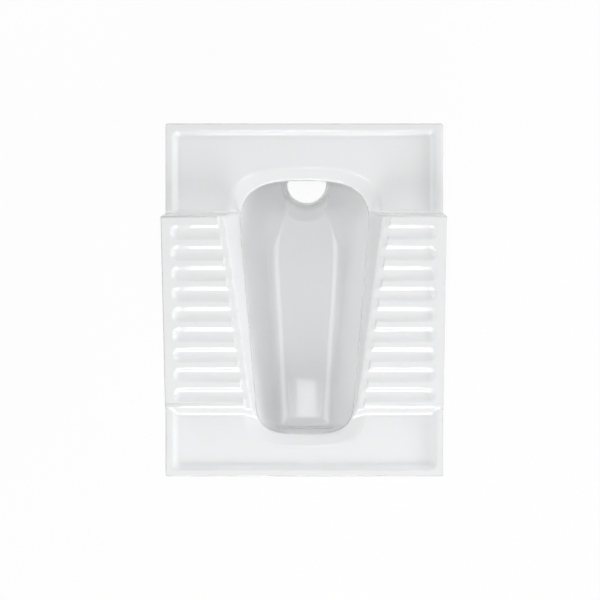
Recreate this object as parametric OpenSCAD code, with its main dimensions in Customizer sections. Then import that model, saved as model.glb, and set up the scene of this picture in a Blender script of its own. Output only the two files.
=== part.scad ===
// Squat toilet pan in vitreous china, set into a floor opening and carried on its skirt.
// Millimetres. +Y runs to the rear, where the outlet is, +X is to the right, +Z is up.
// The origin is the middle of the skirt's foot, the plane that sits on the floor.

/* [Pan] */
// Length of the pan, front to rear
pan_l = 600; // [580:5:660]
// Width of the pan
pan_w = 472; // [440:2:540]
// Radius of the pan's upright corners
corner_r = 4; // [1:0.5:10]
// Height of the tray rim above the skirt's foot
rim_h = 40; // [36:1:60]
// Thickness of the china
china_t = 12; // [9:0.5:13]

/* [Trays] */
// Depth of the trays below the rim
tray_depth = 8; // [5:0.5:12]
// Width of the flat rim round the trays
rim_w = 12; // [8:0.5:18]
// Width of the trays' sloping side walls, seen from above
tray_wall_w = 7; // [4:0.5:12]

/* [Foot treads] */
// Distance from the pan's front edge to the top of the treads' front step
tread_front = 120; // [112:1:132]
// Length of the treads, front to rear
tread_l = 318; // [290:1:326]
// Height of the treads above the rim at their front end
tread_front_h = 4.4; // [2:0.2:12]
// Height of the treads above the rim at their rear end
tread_rear_h = 41.5; // [24:0.5:50]
// Width of the step at the treads' front end, seen from above
step_front_w = 15.5; // [8:0.5:22]
// Width of the step at the treads' rear end, seen from above
step_rear_w = 12; // [6:0.5:20]
// Width of the strip between the treads and the bowl's wall
shoulder_w = 11.5; // [6:0.5:18]
// Drop from the treads to that strip
shoulder_drop = 3.5; // [2:0.25:5]
// Sideways lean of the bowl's upper wall for each millimetre of its height
wall_lean = 0.36; // [0.25:0.01:0.5]

/* [Tread grooves] */
// Width of a groove at the tread's surface
groove_w = 23; // [16:0.5:26]
// Depth of a groove
groove_d = 4.5; // [2.5:0.25:5.5]
// Distance between the middles of two grooves
groove_pitch = 34; // [30:0.5:40]
// Distance from the treads' front end to the middle of the first groove
groove_front = 20; // [16:0.5:30]
// Flat margin between the grooves' round ends and the pan's side
groove_margin = 16; // [10:0.5:26]

/* [Bowl] */
// Distance from the pan's front edge to the bowl's lip
lip_front = 69; // [62:0.5:80]
// Length of the lip's opening
lip_l = 436.5; // [420:0.5:446]
// Width of the lip's opening at the middle of the pan
lip_w = 200; // [180:1:214]
// Widening of half the opening for each millimetre towards the rear
lip_taper = 0.0857; // [0.05:0.0001:0.1]
// Drop from the rim to the lip
lip_drop = 14; // [10:0.5:18]
// Thickness of the lip
lip_t = 12; // [8:0.5:14]
// Width of the sloping ring between the lip and the trays
ring_w = 19; // [14:0.5:24]
// Overhang of the lip over the bowl's side walls
lip_overhang = 4; // [1:0.5:8]
// Depth of the bowl's floor below the rim at the middle of the pan
floor_depth = 125; // [122:1:140]
// Fall of the floor for each millimetre towards the rear
floor_fall = 0.15; // [0.12:0.005:0.17]
// Width of the channel at the middle of the pan, where the side walls end
channel_w = 132; // [112:1:144]
// Width of the channel's flat floor at the middle of the pan
channel_floor_w = 90; // [70:1:100]
// Widening of half the channel for each millimetre towards the rear
channel_taper = 0.07; // [0.04:0.005:0.09]
// Narrowing of half the channel where it runs into the outlet
channel_pinch = 32; // [22:1:34]
// Height of the curved foot of the side walls
channel_foot_h = 20; // [12:1:24]
// Distance from the lip's front edge back to the foot of the front wall
channel_front = 3; // [0:0.5:5]

/* [Outlet] */
// Distance from the outlet's axis to the pan's rear edge
outlet_rear = 74; // [72:1:80]
// Radius of the outlet's bore
outlet_r = 38; // [34:0.5:42]
// Radius of the edge between the outlet's dish and its funnel
funnel_r = 49; // [46:0.5:52]
// Radius of the dish where it meets the floor in front of the outlet
dish_r = 78; // [70:1:86]
// Depth of that edge below the channel's floor, at the outlet's axis
funnel_drop = 1.1; // [0.5:0.1:4]
// Length of the funnel, down to the bore
funnel_l = 25; // [18:0.5:34]
// Length of the horn
horn_l = 58; // [50:1:80]
// Outer radius of the horn's straight end
horn_r = 50; // [47:0.5:54]
// Distance from the funnel's edge down to the ground seat of the horn
horn_seat_drop = 12; // [8:0.5:16]

/* [Flush inlet] */
// Width of the flush slot at the front of the bowl
slot_w = 98; // [60:1:100]
// Height of the flush slot
slot_h = 6; // [5:0.5:12]
// Height of the slot's lower edge above the front wall's foot
slot_rise = 0.5; // [0.5:0.5:4]
// Wall of the inlet box
box_t = 8; // [6:0.5:9]
// Inside length of the inlet box, front to rear
box_l = 18; // [14:0.5:20]
// Inside height of the inlet box
box_h = 58; // [50:1:64]
// Radius of the socket's bore
socket_r = 28; // [25:0.5:29]
// Wall of the socket
socket_t = 9; // [6:0.5:9]
// Distance from the socket's mouth to the pan's front edge
socket_front = 8; // [6:0.5:12]

/* [Seals] */
// Outside radius of the flush pipe that the inlet seal takes
flush_pipe_r = 22; // [18:0.5:23]
// Length of the inlet seal inside the socket
inlet_seal_l = 22; // [16:0.5:26]
// Thickness of the inlet seal's flange
inlet_flange_t = 3; // [2:0.5:5]
// Width of the inlet seal's flange beyond the socket's bore
inlet_flange_w = 5; // [3:0.5:6]
// Thickness of the outlet seal
outlet_seal_t = 5; // [3:0.5:8]
// Length of the outlet seal
outlet_seal_l = 24; // [16:1:28]
// Distance from the outlet seal to the horn's foot
outlet_seal_rise = 4; // [2:0.5:8]

/* [Hidden] */
$fn = 96;

corner_steps = 7;  // points along a quarter of an outline's rounded end
side_steps = 6;    // stretches along an outline's side
lip_rear_pow = 3;  // squareness of the outlines' ends: 2 is an ellipse
lip_front_pow = 3.4;
over = 1;          // how far a cut runs past the face that it opens
tall = 2 * (rim_h + tread_rear_h); // higher than anything on the pan
least_r = 1;       // least radius of the skirt's inner corners

front_y = -pan_l / 2;
rear_y = pan_l / 2;
side_x = pan_w / 2;
tray_z = rim_h - tray_depth;
under_z = tray_z - china_t;
lip_z = rim_h - lip_drop;
seam_z = lip_z - lip_t;

// The ring falls steeply from the trays, then turns flatter towards the lip.
ring_bend_w = ring_w / 2;
ring_bend_z = lip_z + (tray_z - lip_z) / 4;

tread_y0 = front_y + tread_front;
tread_y1 = tread_y0 + tread_l;
tread_rise = (tread_rear_h - tread_front_h) / tread_l;
groove_r = groove_w * groove_w / (8 * groove_d) + groove_d / 2;
groove_count = floor((tread_l - groove_front - groove_w) / groove_pitch) + 1;
groove_end_step = 15; // degrees between the points of a groove's round end

lip_y0 = front_y + lip_front;
lip_y1 = lip_y0 + lip_l;
outlet_y = rear_y - outlet_rear;
funnel_z = floor_z(outlet_y) - funnel_drop;
bore_z = funnel_z - funnel_l;
horn_top_z = funnel_z - horn_seat_drop;
horn_z = horn_top_z - horn_l;
sump_r = funnel_r + china_t;

// The bowl reaches back under the rear tray, round the outlet.
bowl_y0 = lip_y0 - lip_overhang;
seat_clear = 3;    // room between the luted flange and the skirt
bowl_y1 = rear_y - 2 * china_t - seat_clear - over;
lip_rear_l = 95.5; // length of the rounded ends, along the pan
lip_front_l = 61;
bowl_rear_l = 162;
bowl_rear_pow = 2.4;
pinch_l = 105;     // length over which the channel narrows before the outlet
channel_front_pow = 6;
foot_steepness = 3; // narrowing of the foot for each millimetre that its front end moves in

// The side walls' foot bends once between the channel's floor and the wall.
bend_w = channel_w - 0.35 * (channel_w - channel_floor_w);
bend_h = 0.3 * channel_foot_h;
bend_t = 0.8 * china_t;

slot_z = floor_z(bowl_y0) + channel_foot_h + slot_rise;
inlet_low = 15.5;  // how far the socket's axis lies below the middle of the flush slot
inlet_z = slot_z + slot_h / 2 - inlet_low;
box_y1 = bowl_y0 - china_t;
box_y0 = box_y1 - box_t - box_l - box_t;
socket_y = front_y + socket_front;

function tread_z(y) = rim_h + tread_front_h + tread_rise * (y - tread_y0);
function shoulder_z(y) = tread_z(y) - shoulder_drop;
function floor_z(y) = rim_h - floor_depth - floor_fall * y;
function lip_half(y) = lip_w / 2 + lip_taper * y;
function wall_half(y) = lip_half(y) + wall_lean * (shoulder_z(y) - lip_z);
function tread_half(y) = wall_half(y) + shoulder_w;
function smooth(t) = let (u = min(1, max(0, t))) u * u * (3 - 2 * u);

// Outlines seen from above. Each is the half width at the pan's middle, its widening towards
// the rear, its narrowing before the outlet, and the place, length and squareness of its
// rear and front ends.
function outline(half, taper, pinch, y1, len1, pow1, y0, len0, pow0) =
    [half, taper, pinch, [y1, len1, pow1], [y0, len0, pow0]];
function half_at(o, y) =
    o[0] + o[1] * y - o[2] * smooth((y - (outlet_y - funnel_r - pinch_l)) / pinch_l);
function end_point(o, end, way, a) =
    let (y = end[0] - way * end[1] * (1 - pow(sin(a), 2 / end[2])))
    [half_at(o, y) * pow(cos(a), 2 / end[2]), y];
function mirrored(points) = [for (i = [len(points) - 1:-1:0]) [-points[i][0], points[i][1]]];
function right_half(o) =
    let (y0 = o[4][0] + o[4][1], y1 = o[3][0] - o[3][1], step = 90 / corner_steps)
    concat(
        [for (i = [1:corner_steps]) end_point(o, o[4], -1, 90 - i * step)],
        [for (i = [1:side_steps - 1])
            let (y = y0 + (y1 - y0) * i / side_steps) [half_at(o, y), y]],
        [for (i = [0:corner_steps - 1]) end_point(o, o[3], 1, i * step)]);
function loop(o) =
    let (side = right_half(o))
    concat([[0, o[4][0]]], side, [[0, o[3][0]]], mirrored(side));

// Rings of points for the curved walls: an outline on a level or on a sloping plane.
function level(o, z) = [for (p = loop(o)) [p[0], p[1], z]];
function on_floor(o, up) = [for (p = loop(o)) [p[0], p[1], floor_z(p[1]) + up]];
function on_shoulder(o, up) = [for (p = loop(o)) [p[0], p[1], shoulder_z(p[1]) + up]];

function lip_outline(grow) = outline(lip_w / 2 + grow, lip_taper, 0,
    lip_y1 + grow, lip_rear_l + grow / 2, lip_rear_pow,
    lip_y0 - grow, lip_front_l + grow / 2, lip_front_pow);
function wall_outline(grow) = outline(wall_half(0) + grow, wall_half(1) - wall_half(0), 0,
    lip_y1 + ring_w + grow, lip_rear_l + ring_w / 2, lip_rear_pow,
    lip_y0 - ring_w - grow, lip_front_l + ring_w / 2, lip_front_pow);
function bowl_outline(grow) = outline(lip_w / 2 + lip_overhang + grow, lip_taper, 0,
    bowl_y1 + grow, bowl_rear_l + grow / 2, bowl_rear_pow,
    bowl_y0 - grow, lip_front_l + grow / 2, lip_front_pow);
function channel_outline(width, grow) = outline(width / 2 + grow, channel_taper, channel_pinch,
    outlet_y + funnel_r + grow, funnel_r + grow, 2,
    lip_y0 + channel_front + (channel_w - width) / foot_steepness - grow,
    china_t + grow, channel_front_pow);

// A solid through a stack of rings, given from the bottom up.
module loft(rings) {
    n = len(rings[0]);
    top = len(rings) - 1;
    side = [for (k = [0:top - 1], i = [0:n - 1])
        let (a = k * n + i, b = k * n + (i + 1) % n, c = a + n, d = b + n)
        each [[a, c, d], [a, d, b]]];
    polyhedron(
        points = [for (ring = rings, p = ring) p],
        faces = concat([[for (i = [0:n - 1]) i]], side, [[for (i = [n - 1:-1:0]) top * n + i]]));
}

module rounded_plan(inset) {
    r = max(corner_r - inset, least_r);
    w = pan_w - 2 * inset;
    l = pan_l - 2 * inset;
    square([w - 2 * r, l], center = true);
    square([w, l - 2 * r], center = true);
    for (x = [-1, 1], y = [-1, 1]) translate([x * (w / 2 - r), y * (l / 2 - r)]) circle(r);
}

// Extrudes a side view, drawn in Y and Z, across the pan.
module across(half) {
    rotate([90, 0, 90]) linear_extrude(height = 2 * half, center = true) children();
}

// Extrudes a front view, drawn in X and Z, along the pan.
module along(y0, y1) {
    translate([0, y1, 0]) rotate([90, 0, 0]) linear_extrude(height = y1 - y0) children();
}

// The hollow of a tray, open at the top, from y0 to y1 at its floor.
module tray_hollow(y0, y1) {
    foot_x = side_x - rim_w - tray_wall_w;
    up = tray_depth + over;
    lean = tray_wall_w * up / tray_depth;
    intersection() {
        across(side_x) polygon([[y0, tray_z], [y1, tray_z], [y1 + lean, tray_z + up],
            [y0 - lean, tray_z + up]]);
        along(front_y, rear_y) polygon([[-foot_x, tray_z], [foot_x, tray_z],
            [foot_x + lean, tray_z + up], [-foot_x - lean, tray_z + up]]);
    }
}

// The tray level: rim, rear tray, front tray and the ring that falls to the lip.
module tray_body() {
    floor_end = rear_y - rim_w - tray_wall_w;
    difference() {
        linear_extrude(height = rim_h) rounded_plan(0);
        tray_hollow(tread_y1, floor_end);
        tray_hollow(-floor_end, tread_y0);
        loft([level(lip_outline(0), -over), level(lip_outline(0), lip_z),
            level(lip_outline(ring_bend_w), ring_bend_z),
            level(lip_outline(ring_w), tray_z), level(lip_outline(ring_w), tall)]);
    }
}

// One groove's cutter: a bar that ends in a half ball at its outer end.
module groove_cutter(inner, outer) {
    rotate_extrude() polygon(concat([[0, inner], [groove_r, inner]],
        [for (a = [0:groove_end_step:90]) [groove_r * cos(a), outer + groove_r * sin(a)]]));
}

module groove_row() {
    inner = wall_half(front_y) / 2;
    outer = side_x - groove_margin - groove_w / 2;
    tilt = atan(tread_rise);
    for (i = [0:groove_count - 1], turn = [0, 180]) {
        y = tread_y0 + groove_front + i * groove_pitch;
        translate([0, y, tread_z(y)]) rotate([tilt, 0, 0])
            translate([0, 0, groove_r - groove_d]) rotate([0, -90, turn])
            groove_cutter(inner, outer);
    }
}

// The block of both treads, before the bowl's opening and the grooves are cut.
module tread_block() {
    front = tread_y0 - step_front_w;
    rear = tread_y1 + step_rear_w;
    across(side_x) polygon([[front, seam_z], [front, tray_z], [tread_y0, tread_z(tread_y0)],
        [tread_y1, tread_z(tread_y1)], [rear, tray_z], [rear, seam_z]]);
}

// What is cut away above the strip beside the bowl.
module shoulder_cut() {
    front = tread_y0 - step_front_w - over;
    rear = tread_y1 + step_rear_w + over;
    intersection() {
        across(side_x) polygon([[front, shoulder_z(front)], [rear, shoulder_z(rear)],
            [rear, tall], [front, tall]]);
        linear_extrude(height = tall) polygon([[-tread_half(front_y), front_y],
            [tread_half(front_y), front_y], [tread_half(rear_y), rear_y],
            [-tread_half(rear_y), rear_y]]);
    }
}

// The bowl's opening between the treads, up its leaning upper wall and past the strip beside it.
module wall_cut() {
    past = wall_outline(wall_lean * over);
    loft([level(lip_outline(0), -over), level(lip_outline(0), lip_z),
        on_shoulder(past, over), on_shoulder(past, tall)]);
}

// The raised treads, with the strip beside the bowl and the bowl's upper wall.
module tread_body() {
    difference() {
        difference() {
            difference() {
                tread_block();
                shoulder_cut();
            }
            wall_cut();
        }
        groove_row();
    }
}

// The hollow underside, which leaves the flange that the bowl is luted to.
module underside() {
    inner_x = side_x - china_t;
    y0 = tread_y0 + china_t / 2;
    y1 = tread_y1 - china_t;
    difference() {
        union() {
            translate([0, 0, -over]) linear_extrude(height = under_z + over) rounded_plan(china_t);
            across(inner_x) polygon([[y0, under_z - over], [y0, tread_z(y0) - china_t],
                [y1, tread_z(y1) - china_t], [y1 + step_rear_w, under_z - over]]);
        }
        loft([level(bowl_outline(china_t + seat_clear - over), seam_z),
            level(bowl_outline(china_t + seat_clear - over), under_z),
            on_shoulder(wall_outline(china_t), 0)]);
    }
}

module deck() {
    color("white") difference() {
        union() {
            tray_body();
            tread_body();
        }
        underside();
    }
}

// The bowl's inside, from its floor up through the seam.
module bowl_inside() {
    loft([on_floor(channel_outline(channel_floor_w, 0), 0),
        on_floor(channel_outline(bend_w, 0), bend_h),
        on_floor(channel_outline(channel_w, 0), channel_foot_h),
        level(bowl_outline(0), seam_z), level(bowl_outline(0), seam_z + over)]);
}

module bowl_outside() {
    loft([on_floor(channel_outline(channel_floor_w, china_t / 2), -china_t),
        on_floor(channel_outline(bend_w, bend_t), bend_h - bend_t),
        on_floor(channel_outline(channel_w, china_t), channel_foot_h - china_t / 2),
        level(bowl_outline(china_t), seam_z)]);
}

module flush_slot() {
    translate([-slot_w / 2, box_y1 - box_t - over, slot_z])
        cube([slot_w, lip_y0 - box_y1 + box_t + china_t, slot_h]);
}

// The shallow dish round the outlet, which the channel's sides bound.
module dish_hollow() {
    dish_z = floor_z(outlet_y - dish_r);
    rise = (dish_z - funnel_z) / (dish_r - funnel_r);
    channel = channel_outline(channel_w, 0);
    intersection() {
        translate([0, outlet_y, 0]) rotate_extrude() polygon([[0, funnel_z],
            [funnel_r, funnel_z], [dish_r + china_t, dish_z + rise * china_t],
            [0, dish_z + rise * china_t]]);
        loft([level(channel, horn_top_z), level(channel, seam_z)]);
    }
}

// The funnel and the bore of the outlet.
module funnel_hollow() {
    translate([0, outlet_y, 0]) rotate_extrude() polygon([[0, horn_z - over],
        [outlet_r, horn_z - over], [outlet_r, bore_z], [funnel_r, funnel_z],
        [funnel_r, funnel_z + over / 2], [0, funnel_z + over / 2]]);
}

// The thicker china round the funnel, with the ground seat for the horn.
module sump() {
    intersection() {
        translate([0, outlet_y, horn_top_z])
            cylinder(r = sump_r, h = horn_seat_drop + 2 * china_t);
        loft([level(bowl_outline(china_t), horn_top_z), level(bowl_outline(china_t), seam_z)]);
    }
}

module bowl() {
    color("whitesmoke") difference() {
        union() {
            bowl_outside();
            sump();
        }
        bowl_inside();
        dish_hollow();
        funnel_hollow();
        flush_slot();
        translate([-side_x, front_y, horn_top_z - tall]) cube([pan_w, pan_l, tall]);
    }
}

// The turned end of the outlet, luted under the bowl.
module outlet_horn() {
    color("whitesmoke") difference() {
        translate([0, outlet_y, 0]) rotate_extrude() polygon([[0, horn_z], [horn_r, horn_z],
            [horn_r, bore_z - china_t], [sump_r, horn_top_z], [0, horn_top_z]]);
        funnel_hollow();
    }
}

// The box that spreads the flush water, luted to the bowl's front wall.
module inlet_box() {
    w = slot_w + 2 * box_t;
    z0 = inlet_z - box_h / 2;
    color("whitesmoke") difference() {
        union() {
            translate([-w / 2, box_y0, z0 - box_t])
                cube([w, bowl_y0 - box_y0, box_h + 2 * box_t]);
            along(socket_y, box_y0 + over) translate([0, inlet_z]) circle(socket_r + socket_t);
        }
        translate([-slot_w / 2, box_y0 + box_t, z0]) cube([slot_w, box_l, box_h]);
        along(socket_y - over, box_y0 + box_t + over) translate([0, inlet_z]) circle(socket_r);
        flush_slot();
        bowl_outside();
    }
}

// Rubber cuff in the socket, which grips the flush pipe.
module inlet_seal() {
    color("dimgray") difference() {
        union() {
            along(socket_y, socket_y + inlet_seal_l) translate([0, inlet_z]) circle(socket_r);
            along(socket_y - inlet_flange_t, socket_y)
                translate([0, inlet_z]) circle(socket_r + inlet_flange_w);
        }
        along(socket_y - inlet_flange_t - over, socket_y + inlet_seal_l + over)
            translate([0, inlet_z]) circle(flush_pipe_r);
    }
}

// Rubber sleeve round the horn, which seals it in the soil pipe.
module outlet_seal() {
    color("dimgray") translate([0, outlet_y, horn_z + outlet_seal_rise]) difference() {
        cylinder(r = horn_r + outlet_seal_t, h = outlet_seal_l);
        translate([0, 0, -over]) cylinder(r = horn_r, h = outlet_seal_l + 2 * over);
    }
}

deck();
bowl();
outlet_horn();
inlet_box();
inlet_seal();
outlet_seal();
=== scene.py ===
import math
import bpy
import numpy as np
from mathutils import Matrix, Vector


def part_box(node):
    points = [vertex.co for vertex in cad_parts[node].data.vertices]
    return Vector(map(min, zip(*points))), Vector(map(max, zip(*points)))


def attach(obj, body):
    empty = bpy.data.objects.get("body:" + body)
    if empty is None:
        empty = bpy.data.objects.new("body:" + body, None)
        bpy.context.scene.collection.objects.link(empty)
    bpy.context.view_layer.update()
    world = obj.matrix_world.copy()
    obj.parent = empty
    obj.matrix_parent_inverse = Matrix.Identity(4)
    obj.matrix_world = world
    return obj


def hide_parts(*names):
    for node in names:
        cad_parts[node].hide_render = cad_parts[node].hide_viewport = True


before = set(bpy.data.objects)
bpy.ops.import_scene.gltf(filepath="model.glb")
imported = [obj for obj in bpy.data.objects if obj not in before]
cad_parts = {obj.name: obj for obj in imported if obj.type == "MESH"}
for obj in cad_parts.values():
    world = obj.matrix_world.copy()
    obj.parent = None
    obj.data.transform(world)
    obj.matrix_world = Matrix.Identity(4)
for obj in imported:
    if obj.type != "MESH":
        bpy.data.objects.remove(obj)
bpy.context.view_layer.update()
mm = 0.001

# Camera
# The photograph looks straight down, with the rear of the pan at the top of the picture.

photo = {
    "width": 600,          # pixels
    "mmPerPixel": 1.6967,  # at the level of the tray rim
    "middleX": 322,        # the pixel column that lies straight under the camera
    "cameraX": 29.9,       # mm to the right of the pan's middle
    "cameraUp": 1300,      # mm above the tray rim
    "sensor": 36,          # mm
    "clip": (0.01, 20),    # metres, the nearest and farthest that is seen
}


def addCamera(rimZ):
    data = bpy.data.cameras.new("photoCamera")
    camera = bpy.data.objects.new("photoCamera", data)
    bpy.context.scene.collection.objects.link(camera)
    seen = photo["width"] * photo["mmPerPixel"]
    data.sensor_width = photo["sensor"]
    data.lens = photo["sensor"] * photo["cameraUp"] / seen
    data.shift_x = (photo["width"] / 2 - photo["middleX"]) / photo["width"]
    data.clip_start, data.clip_end = photo["clip"]
    camera.location = Vector((photo["cameraX"], 0, rimZ + photo["cameraUp"])) * mm
    bpy.context.scene.camera = camera
    print("camera placed, lens", round(data.lens, 2))


# Smooth solids
# Each piece of china is a function of x, y and z in millimetres: below 0 in the clay, above 0 outside.

meshing = {
    "room": 1.5,              # around a piece, in cells
    "slopeReach": 0.02,       # mm to each side, where a slope is measured
    "rounds": 5,              # of moving the points onto the surface
    "cellReach": 0.7,         # how far a point may go from the middle of its cell, in cells
    "leastSteep": 0.05,       # smallest square of a slope that a step is divided by
    "flatness": 0.15,         # degrees between faces that are joined
    "leastFlatArea": 0.0001,  # square metres
    "levelAngle": 0.25,       # degrees that a corner of a flat face may lean
    "levelShare": 0.3,        # of a flat face's corners that lean less than that
    "snapAngle": 6,           # degrees, up to which the other corners are straightened
    "bendReach": 1.2,         # mm to each side, where a bend is measured
}


def roundJoin(a, b, radius):  # both solids, with a fillet where they meet
    corner = np.hypot(np.maximum(radius - a, 0), np.maximum(radius - b, 0))
    return np.maximum(radius, np.minimum(a, b)) - corner


def roundShare(a, b, radius):  # what both solids share, with its edge rounded
    return -roundJoin(-a, -b, radius)


def softLimit(a, b, width):  # the same for surfaces that meet at a flat angle
    near = np.maximum(width - np.abs(a - b), 0)
    return np.maximum(a, b) + near ** 2 / (4 * width)


def softJoin(a, b, width):
    return -softLimit(-a, -b, width)


def smoothStep(t):
    t = np.clip(t, 0, 1)
    return t * t * (3 - 2 * t)


def slopeOf(solid, points):  # direction and steepness of the function at some points
    reach = meshing["slopeReach"]
    x, y, z = points.T
    return np.stack([
        solid(x + reach, y, z) - solid(x - reach, y, z),
        solid(x, y + reach, z) - solid(x, y - reach, z),
        solid(x, y, z + reach) - solid(x, y, z - reach),
    ], axis=1) / (2 * reach)


def netOf(solid, low, high, steps):  # one point in each grid cell that the surface crosses
    room = meshing["room"]
    axes = [np.arange(lo - room * s, hi + (room + 1) * s, s) for lo, hi, s in zip(low, high, steps)]
    inside = solid(*np.meshgrid(*axes, indexing="ij", sparse=True)) < 0
    nx, ny, nz = (n - 1 for n in inside.shape)
    corners = np.zeros((nx, ny, nz), np.int8)
    for i in (0, 1):
        for j in (0, 1):
            for k in (0, 1):
                corners += inside[i:nx + i, j:ny + j, k:nz + k]
    crossed = (corners > 0) & (corners < 8)
    number = np.full(crossed.shape, -1, np.int64)
    number[crossed] = np.arange(crossed.sum())
    start = np.stack([axes[d][c] + steps[d] / 2 for d, c in enumerate(np.nonzero(crossed))], axis=1)
    quads = []
    for axis in range(3):
        a, b = (axis + 1) % 3, (axis + 2) % 3
        count = inside.shape[axis]
        near = np.take(inside, range(count - 1), axis)
        far = np.take(inside, range(1, count), axis)
        for solidFirst in (True, False):
            cell = np.argwhere((near != far) & (near == solidFirst))
            ring = []
            for back, up in ((1, 1), (0, 1), (0, 0), (1, 0)):
                other = cell.copy()
                other[:, a] -= back
                other[:, b] -= up
                ring.append(number[tuple(other.T)])
            quads.append(np.stack(ring if solidFirst else ring[::-1], axis=1))
    return start, np.concatenate(quads)


def ontoSurface(solid, start, steps):  # moves each point to the surface, within its own cell
    points = start.copy()
    reach = meshing["cellReach"] * np.array(steps)
    for _ in range(meshing["rounds"]):
        slope = slopeOf(solid, points)
        steep = np.maximum((slope ** 2).sum(axis=1), meshing["leastSteep"])
        points -= slope * (solid(*points.T) / steep)[:, None]
        points = np.clip(points, start - reach, start + reach)
    return points


def chinaMesh(name, solid, low, high, steps, flatness=meshing["flatness"]):
    start, quads = netOf(solid, low, high, steps)
    points = ontoSurface(solid, start, steps)
    mesh = bpy.data.meshes.new(name)
    mesh.vertices.add(len(points))
    mesh.vertices.foreach_set("co", (points * mm).astype(np.float32).ravel())
    mesh.loops.add(quads.size)
    mesh.loops.foreach_set("vertex_index", quads.astype(np.int32).ravel())
    mesh.polygons.add(len(quads))
    mesh.polygons.foreach_set("loop_start", np.arange(0, quads.size, 4, dtype=np.int32))
    mesh.update(calc_edges=True)
    piece = bpy.data.objects.new(name, mesh)
    bpy.context.scene.collection.objects.link(piece)
    flatten = piece.modifiers.new("joinFlatFaces", "DECIMATE")
    flatten.decimate_type = "DISSOLVE"
    flatten.angle_limit = math.radians(flatness)
    shown = piece.evaluated_get(bpy.context.evaluated_depsgraph_get())
    piece.data = bpy.data.meshes.new_from_object(shown)
    piece.modifiers.clear()
    piece.data.name = name
    bpy.data.meshes.remove(mesh)
    smoothNormals(piece.data, solid)
    print(name, len(quads), "quads,", len(piece.data.polygons), "faces kept")
    return piece


def pointsOf(mesh):
    points = np.empty(len(mesh.vertices) * 3)
    mesh.vertices.foreach_get("co", points)
    return points.reshape(-1, 3) / mm


def readAll(items, key, kind=np.float32, width=1):
    values = np.empty(len(items) * width, kind)
    items.foreach_get(key, values)
    return values.reshape(-1, width) if width > 1 else values


def smoothNormals(mesh, solid):  # flat faces stay flat up to the start of a rounded edge
    slope = slopeOf(solid, pointsOf(mesh))
    slope /= np.maximum(np.linalg.norm(slope, axis=1), 1e-9)[:, None]
    normals = slope[readAll(mesh.loops, "vertex_index", np.int32)]
    sides = readAll(mesh.polygons, "loop_total", np.int32)
    face = np.repeat(np.arange(len(sides)), sides)
    faceNormals = readAll(mesh.polygons, "normal", width=3)[face]
    along = (normals * faceNormals).sum(axis=1)
    level, snapped = (along > math.cos(math.radians(meshing[key])) for key in ("levelAngle", "snapAngle"))
    flat = np.bincount(face, level) / sides > meshing["levelShare"]
    flat &= readAll(mesh.polygons, "area") > meshing["leastFlatArea"]
    normals = np.where((flat[face] & snapped)[:, None], faceNormals, normals)
    mesh.shade_smooth()
    mesh.normals_split_custom_set(normals)
    storeValue(mesh, "level", flat, "FACE")


def storeValue(mesh, name, values, domain="POINT"):  # values that the materials read
    layer = mesh.attributes.new(name, "FLOAT", domain)
    layer.data.foreach_set("value", np.asarray(values, np.float32))


def bendOf(solid, points):  # above 0 on rounded edges, below 0 in hollow creases
    reach = meshing["bendReach"]
    x, y, z = points.T
    around = -6 * solid(x, y, z)
    for way in (-reach, reach):
        around = around + solid(x + way, y, z) + solid(x, y + way, z) + solid(x, y, z + way)
    return np.clip(2 * around / reach ** 2, -1, 1)


# Lathed pieces
# A profile is a closed loop of corners, each with its radius, height and rounding, in millimetres.
# It runs down its inner side and up its outer one.


def roundedProfile(corners, steps=6):
    places, normals = [], []
    for k, (r, z, rounding) in enumerate(corners):
        here = Vector((r, z))
        back = (Vector(corners[k - 1][:2]) - here).normalized()
        ahead = (Vector(corners[(k + 1) % len(corners)][:2]) - here).normalized()
        turn = math.acos(max(-1, min(1, back.dot(ahead))))
        middle = here + (back + ahead).normalized() * rounding / math.sin(turn / 2)
        convex = back.x * ahead.y < back.y * ahead.x
        first = here + back * rounding / math.tan(turn / 2) - middle
        last = here + ahead * rounding / math.tan(turn / 2) - middle
        for step in range(steps + 1):
            spoke = first.slerp(last, step / steps) * rounding
            places.append(middle + spoke)
            normals.append(spoke.normalized() * (1 if convex else -1))
    return places, normals


def latheMesh(name, corners, axisPoint, along="z", around=128):
    places, normals = roundedProfile(corners)
    count = len(places)
    points, slopes, faces = [], [], []
    for turn in range(around):
        angle = 2 * math.pi * turn / around
        side = Vector((math.cos(angle), math.sin(angle)))
        for (r, z), (rn, zn) in zip(places, normals):
            if along == "z":
                points.append(Vector((r * side.x, r * side.y, z)))
                slopes.append((rn * side.x, rn * side.y, zn))
            else:
                points.append(Vector((r * side.y, z, r * side.x)))
                slopes.append((rn * side.y, zn, rn * side.x))
        nextTurn = (turn + 1) % around
        for k in range(count):
            k2 = (k + 1) % count
            faces.append((turn * count + k, nextTurn * count + k, nextTurn * count + k2, turn * count + k2))
    mesh = bpy.data.meshes.new(name)
    mesh.from_pydata([(p + Vector(axisPoint)) * mm for p in points], [], faces)
    mesh.shade_smooth()
    mesh.normals_split_custom_set_from_vertices(slopes)
    piece = bpy.data.objects.new(name, mesh)
    bpy.context.scene.collection.objects.link(piece)
    print(name, "turned,", len(faces), "faces")
    return piece


# Outlines seen from above, all of one family: straight tapering sides and squarish round ends

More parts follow.
